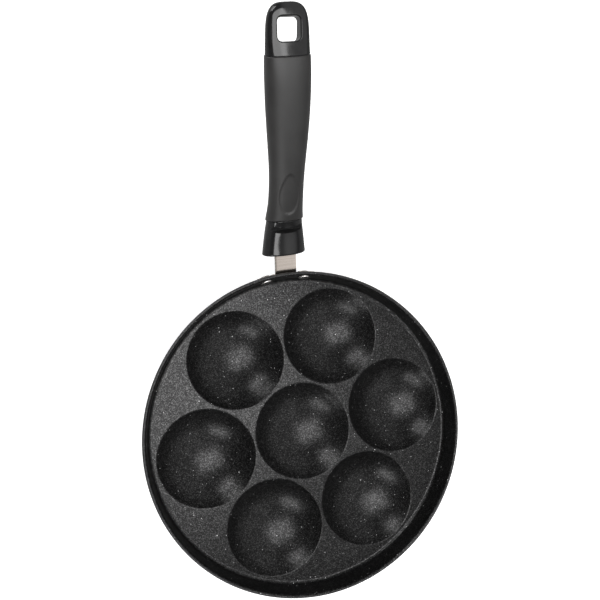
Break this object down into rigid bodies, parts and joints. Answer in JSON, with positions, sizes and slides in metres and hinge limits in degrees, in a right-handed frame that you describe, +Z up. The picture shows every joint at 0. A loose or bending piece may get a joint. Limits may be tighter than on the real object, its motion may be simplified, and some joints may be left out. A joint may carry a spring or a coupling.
{
  "type": "egg pan",
  "caption": "Shallow round pan with spherical wells sunk in a flat plate, low flared rim, riveted metal strap, and long curved handle with soft grip and hanging hole.",
  "frame": {"origin": "centre of the ground flat under the middle well, where the pan stands on the hob", "axes": "+Z up, +Y from the middle of the pan along the handle, +X to the right seen from the pan towards the handle"},
  "size_m": [0.24, 0.4028, 0.1291],
  "materials": {
    "coating": "dark grey speckled non-stick coating on cast aluminium, semi-matt",
    "steel": "satin, fine lines across the strap",
    "rivet_metal": "bare turned or pressed aluminium",
    "handle_gloss": "polished black moulding",
    "grip_soft": "matt soft-touch, very fine grain",
    "screw_steel": "zinc-plated",
    "washer_steel": "oiled spring steel"
  },
  "bodies": {
    "root": {"pan_body": "coating", "handle_bracket": "steel", "rivet_left": "rivet_metal", "rivet_right": "rivet_metal", "handle_core": "handle_gloss", "soft_grip": "grip_soft", "handle_screw": "screw_steel", "spring_washer": "washer_steel"}
  },
  "joints": []
}
